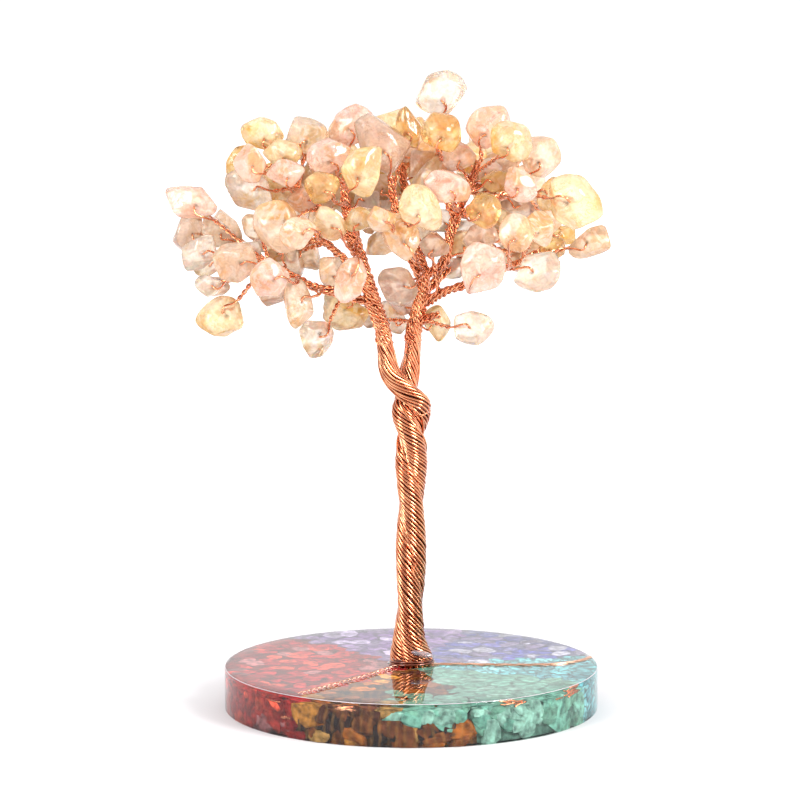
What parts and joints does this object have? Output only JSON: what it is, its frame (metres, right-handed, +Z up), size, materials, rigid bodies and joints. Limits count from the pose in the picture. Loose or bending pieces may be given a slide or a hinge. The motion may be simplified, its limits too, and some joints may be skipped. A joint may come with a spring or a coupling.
{
  "type": "gemstone tree ornament",
  "caption": "Tumbled quartz chips wired on a twisted copper wire tree that stands glued on a round clear resin base.",
  "frame": {"origin": "middle of the underside of the resin base", "axes": "+Z up along the trunk, +X to the right and +Y to the back as the tree is seen from the front"},
  "size_m": [0.0932, 0.08, 0.136],
  "materials": {
    "clear_resin": "clear cast resin, glossy",
    "clear_glue": "clear glue, glossy",
    "copper_wire": "bright drawn copper wire, twisted",
    "citrine_honey": "tumbled and polished, translucent",
    "citrine_gold": "tumbled and polished, translucent",
    "citrine_amber": "tumbled and polished, translucent",
    "quartz_rose": "tumbled and polished, translucent",
    "quartz_smoke": "tumbled and polished, translucent",
    "quartz_clear": "tumbled and polished, nearly clear",
    "carnelian": "red stone chips sealed in the resin",
    "tiger_eye": "banded brown and gold stone chips sealed in the resin",
    "aventurine": "sea green stone chips sealed in the resin",
    "turquoise": "veined turquoise chips sealed in the resin",
    "sodalite": "blue violet stone chips sealed in the resin",
    "amethyst": "violet quartz chips sealed in the resin"
  },
  "bodies": {
    "root": {"resin_base": "clear_resin", "glue_collar": "clear_glue", "wire_tree": "copper_wire", "chip_left_low_1": "quartz_rose", "chip_left_low_2": "quartz_clear", "chip_left_low_3": "quartz_clear", "chip_left_low_4": "quartz_clear", "chip_left_low_5": "citrine_honey", "chip_left_low_6": "quartz_rose", "chip_left_low_7": "citrine_gold", "chip_left_low_8": "citrine_honey", "chip_left_low_9": "quartz_clear", "chip_left_high_1": "citrine_honey", "chip_left_high_2": "citrine_honey", "chip_left_high_3": "quartz_clear", "chip_left_high_4": "quartz_rose", "chip_left_high_5": "citrine_gold", "chip_left_high_6": "citrine_gold", "chip_left_high_7": "quartz_rose", "chip_left_high_8": "quartz_clear", "chip_crown_left_1": "citrine_amber", "chip_crown_left_2": "quartz_rose", "chip_crown_left_3": "quartz_rose", "chip_crown_left_4": "citrine_gold", "chip_front_left_1": "citrine_gold", "chip_front_left_2": "citrine_gold", "chip_front_left_3": "quartz_rose", "chip_front_left_4": "citrine_gold", "chip_front_1": "citrine_honey", "chip_front_2": "citrine_honey", "chip_front_3": "citrine_gold", "chip_front_4": "quartz_smoke", "chip_front_5": "quartz_smoke", "chip_front_6": "citrine_amber", "chip_right_low_1": "quartz_rose", "chip_right_low_2": "citrine_honey", "chip_right_low_3": "citrine_honey", "chip_right_low_4": "quartz_clear", "chip_right_low_5": "citrine_honey", "chip_right_low_6": "quartz_smoke", "chip_right_high_1": "citrine_gold", "chip_right_high_2": "citrine_gold", "chip_right_high_3": "citrine_honey", "chip_right_high_4": "quartz_rose", "chip_right_high_5": "citrine_amber", "chip_crown_right_1": "citrine_gold", "chip_crown_right_2": "quartz_rose", "chip_crown_right_3": "quartz_rose", "chip_crown_right_4": "quartz_rose", "chip_top_1": "quartz_clear", "chip_top_2": "citrine_amber", "chip_under_1": "citrine_gold", "chip_under_2": "quartz_clear", "chips_rear_left": "citrine_honey", "chips_rear_left_high": "citrine_gold", "chips_rear_middle": "citrine_honey", "chips_rear_top": "citrine_gold", "chips_rear_right": "citrine_honey", "chips_rear_right_high": "citrine_gold"}
  },
  "joints": []
}
